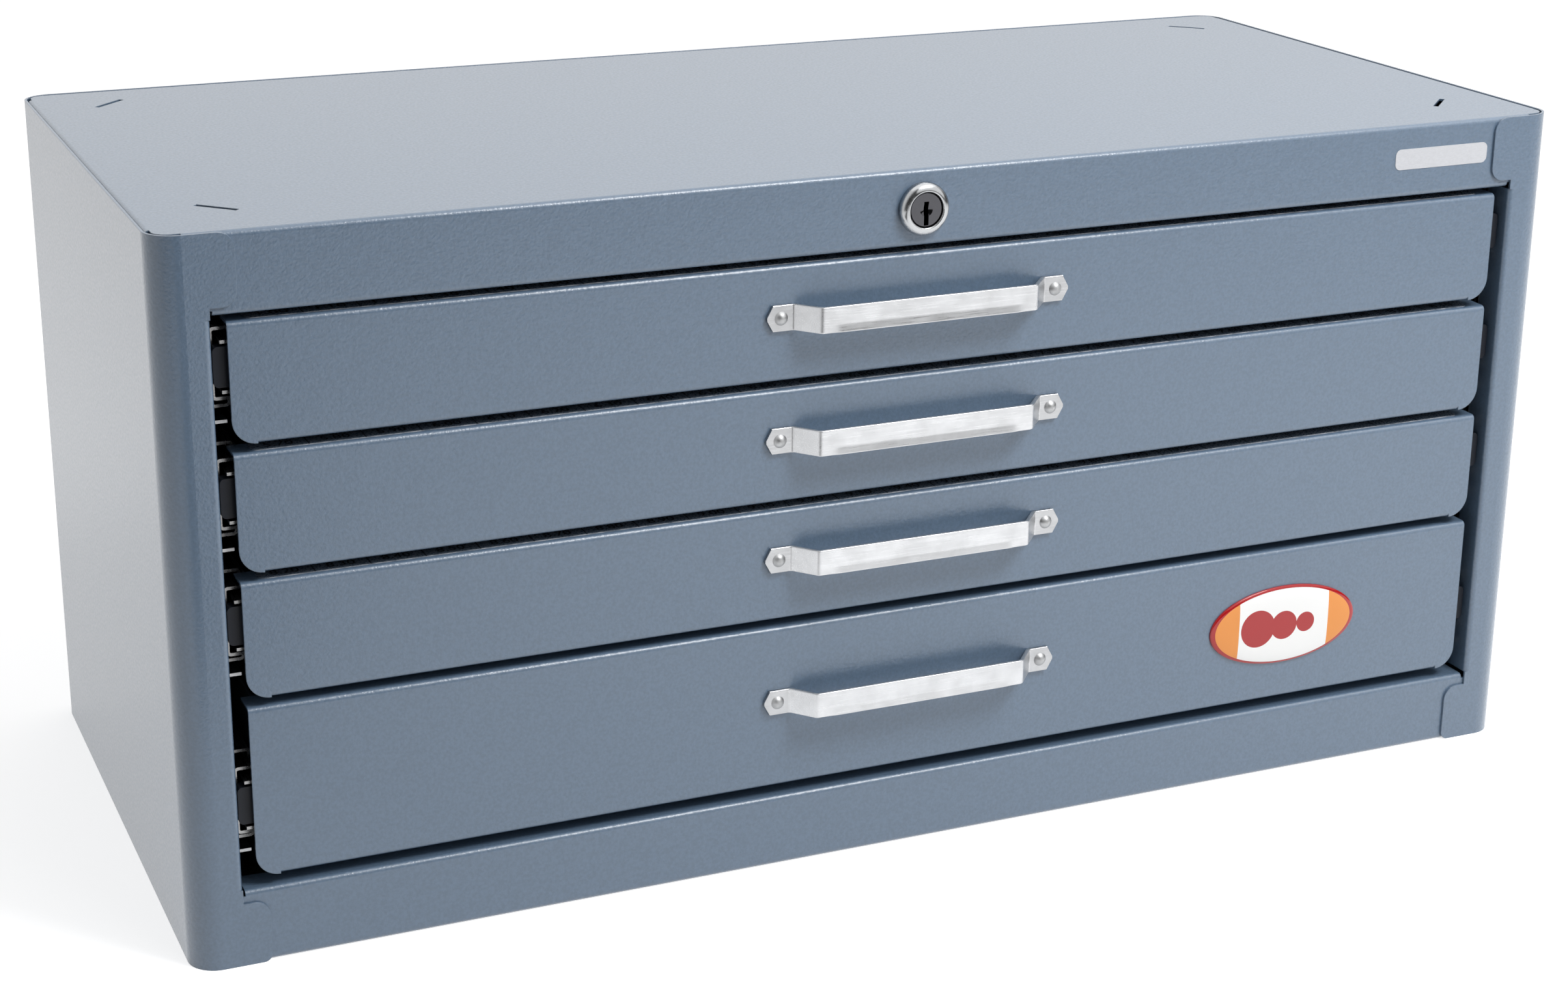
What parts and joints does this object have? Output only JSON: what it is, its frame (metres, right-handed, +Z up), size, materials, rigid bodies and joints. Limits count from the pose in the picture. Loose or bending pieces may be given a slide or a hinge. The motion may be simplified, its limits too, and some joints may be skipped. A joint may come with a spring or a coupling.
{
  "type": "drill bit dispenser cabinet",
  "caption": "Lockable sheet-steel bench cabinet: shallow drawers with numbered drill bit compartments above a deep storage drawer, all on ball slides.",
  "frame": {"origin": "middle of the footprint between the stiles and the back panel, on the floor plane", "axes": "+X to the right along the width, +Y from the front to the back, +Z up"},
  "size_m": [0.59, 0.2803, 0.2816],
  "materials": {
    "case_paint": "fine textured powder coat",
    "panel_paint": "fine textured powder coat",
    "front_paint": "fine textured powder coat",
    "tray_paint": "fine textured powder coat",
    "plated_steel": "zinc plated",
    "slide_steel": "bright zinc plated",
    "ball_steel": "polished",
    "divider_steel": "galvanised",
    "handle_zinc": "bright zinc plated",
    "rivet_zinc": "bright zinc plated",
    "lock_chrome": "polished",
    "plug_chrome": "polished",
    "black_plastic": "moulded",
    "number_strip": "printed vinyl",
    "blank_label": "blank vinyl",
    "badge_plastic": "domed resin"
  },
  "bodies": {
    "case": {"wrapper": "case_paint", "top_panel": "panel_paint", "bottom_panel": "panel_paint", "slide_uprights": "plated_steel", "outer_rails": "slide_steel", "slide_ledges": "plated_steel", "rail_label": "blank_label", "lock_body": "lock_chrome", "lock_nut": "plated_steel", "lock_rod_bracket": "plated_steel", "lock_bar_guides": "plated_steel"},
    "drawer_1": {"drawer_1_front": "front_paint", "drawer_1_tray": "tray_paint", "drawer_1_handle": "handle_zinc", "drawer_1_rivets": "rivet_zinc", "drawer_1_inner_rails": "slide_steel", "drawer_1_dividers": "divider_steel", "drawer_1_labels": "number_strip", "drawer_1_partition": "divider_steel"},
    "middle_1": {"slide_1_middle_rails": "slide_steel", "slide_1_bumpers": "black_plastic"},
    "outer_cages_1": {"slide_1_outer_cages": "ball_steel"},
    "inner_cages_1": {"slide_1_inner_cages": "ball_steel"},
    "drawer_2": {"drawer_2_front": "front_paint", "drawer_2_tray": "tray_paint", "drawer_2_handle": "handle_zinc", "drawer_2_rivets": "rivet_zinc", "drawer_2_inner_rails": "slide_steel", "drawer_2_dividers": "divider_steel", "drawer_2_labels": "number_strip"},
    "middle_2": {"slide_2_middle_rails": "slide_steel", "slide_2_bumpers": "black_plastic"},
    "outer_cages_2": {"slide_2_outer_cages": "ball_steel"},
    "inner_cages_2": {"slide_2_inner_cages": "ball_steel"},
    "drawer_3": {"drawer_3_front": "front_paint", "drawer_3_tray": "tray_paint", "drawer_3_handle": "handle_zinc", "drawer_3_rivets": "rivet_zinc", "drawer_3_inner_rails": "slide_steel", "drawer_3_dividers": "divider_steel", "drawer_3_labels": "number_strip"},
    "middle_3": {"slide_3_middle_rails": "slide_steel", "slide_3_bumpers": "black_plastic"},
    "outer_cages_3": {"slide_3_outer_cages": "ball_steel"},
    "inner_cages_3": {"slide_3_inner_cages": "ball_steel"},
    "drawer_4": {"drawer_4_front": "front_paint", "drawer_4_tray": "tray_paint", "drawer_4_handle": "handle_zinc", "drawer_4_rivets": "rivet_zinc", "drawer_4_inner_rails": "slide_steel", "drawer_4_badge": "badge_plastic"},
    "middle_4": {"slide_4_middle_rails": "slide_steel", "slide_4_bumpers": "black_plastic"},
    "outer_cages_4": {"slide_4_outer_cages": "ball_steel"},
    "inner_cages_4": {"slide_4_inner_cages": "ball_steel"},
    "lock_plug": {"lock_plug": "plug_chrome", "lock_rod": "plated_steel"},
    "lock_bar": {"lock_bar": "plated_steel"}
  },
  "joints": [
    {"name": "drawer_1_slide", "type": "slide", "parent": "case", "child": "drawer_1", "axis": [0, -1, 0], "range_m": [0, 0.225]},
    {"name": "middle_1_slide", "type": "slide", "parent": "case", "child": "middle_1", "axis": [0, -1, 0], "range_m": [0, 0.1125]},
    {"name": "outer_cages_1_slide", "type": "slide", "parent": "case", "child": "outer_cages_1", "axis": [0, -1, 0], "range_m": [0, 0.05625]},
    {"name": "inner_cages_1_slide", "type": "slide", "parent": "case", "child": "inner_cages_1", "axis": [0, -1, 0], "range_m": [0, 0.16875]},
    {"name": "drawer_2_slide", "type": "slide", "parent": "case", "child": "drawer_2", "axis": [0, -1, 0], "range_m": [0, 0.225]},
    {"name": "middle_2_slide", "type": "slide", "parent": "case", "child": "middle_2", "axis": [0, -1, 0], "range_m": [0, 0.1125]},
    {"name": "outer_cages_2_slide", "type": "slide", "parent": "case", "child": "outer_cages_2", "axis": [0, -1, 0], "range_m": [0, 0.05625]},
    {"name": "inner_cages_2_slide", "type": "slide", "parent": "case", "child": "inner_cages_2", "axis": [0, -1, 0], "range_m": [0, 0.16875]},
    {"name": "drawer_3_slide", "type": "slide", "parent": "case", "child": "drawer_3", "axis": [0, -1, 0], "range_m": [0, 0.225]},
    {"name": "middle_3_slide", "type": "slide", "parent": "case", "child": "middle_3", "axis": [0, -1, 0], "range_m": [0, 0.1125]},
    {"name": "outer_cages_3_slide", "type": "slide", "parent": "case", "child": "outer_cages_3", "axis": [0, -1, 0], "range_m": [0, 0.05625]},
    {"name": "inner_cages_3_slide", "type": "slide", "parent": "case", "child": "inner_cages_3", "axis": [0, -1, 0], "range_m": [0, 0.16875]},
    {"name": "drawer_4_slide", "type": "slide", "parent": "case", "child": "drawer_4", "axis": [0, -1, 0], "range_m": [0, 0.225]},
    {"name": "middle_4_slide", "type": "slide", "parent": "case", "child": "middle_4", "axis": [0, -1, 0], "range_m": [0, 0.1125]},
    {"name": "outer_cages_4_slide", "type": "slide", "parent": "case", "child": "outer_cages_4", "axis": [0, -1, 0], "range_m": [0, 0.05625]},
    {"name": "inner_cages_4_slide", "type": "slide", "parent": "case", "child": "inner_cages_4", "axis": [0, -1, 0], "range_m": [0, 0.16875]},
    {"name": "lock_bar_lift", "type": "slide", "parent": "case", "child": "lock_bar", "axis": [0, 0, 1], "range_m": [0, 0.00848]},
    {"name": "lock_turn", "type": "hinge", "parent": "case", "child": "lock_plug", "pos_m": [0, -0.1355, 0.2663], "axis": [0, 1, 0], "range_deg": [0, 90]}
  ],
  "couplings": [
    {"joint": "middle_1_slide", "follows": "drawer_1_slide", "ratio": 0.5},
    {"joint": "outer_cages_1_slide", "follows": "drawer_1_slide", "ratio": 0.25},
    {"joint": "inner_cages_1_slide", "follows": "drawer_1_slide", "ratio": 0.75},
    {"joint": "middle_2_slide", "follows": "drawer_2_slide", "ratio": 0.5},
    {"joint": "outer_cages_2_slide", "follows": "drawer_2_slide", "ratio": 0.25},
    {"joint": "inner_cages_2_slide", "follows": "drawer_2_slide", "ratio": 0.75},
    {"joint": "middle_3_slide", "follows": "drawer_3_slide", "ratio": 0.5},
    {"joint": "outer_cages_3_slide", "follows": "drawer_3_slide", "ratio": 0.25},
    {"joint": "inner_cages_3_slide", "follows": "drawer_3_slide", "ratio": 0.75},
    {"joint": "middle_4_slide", "follows": "drawer_4_slide", "ratio": 0.5},
    {"joint": "outer_cages_4_slide", "follows": "drawer_4_slide", "ratio": 0.25},
    {"joint": "inner_cages_4_slide", "follows": "drawer_4_slide", "ratio": 0.75},
    {"joint": "lock_turn", "follows": "lock_bar_lift", "rad_per_m": 185.12}
  ]
}
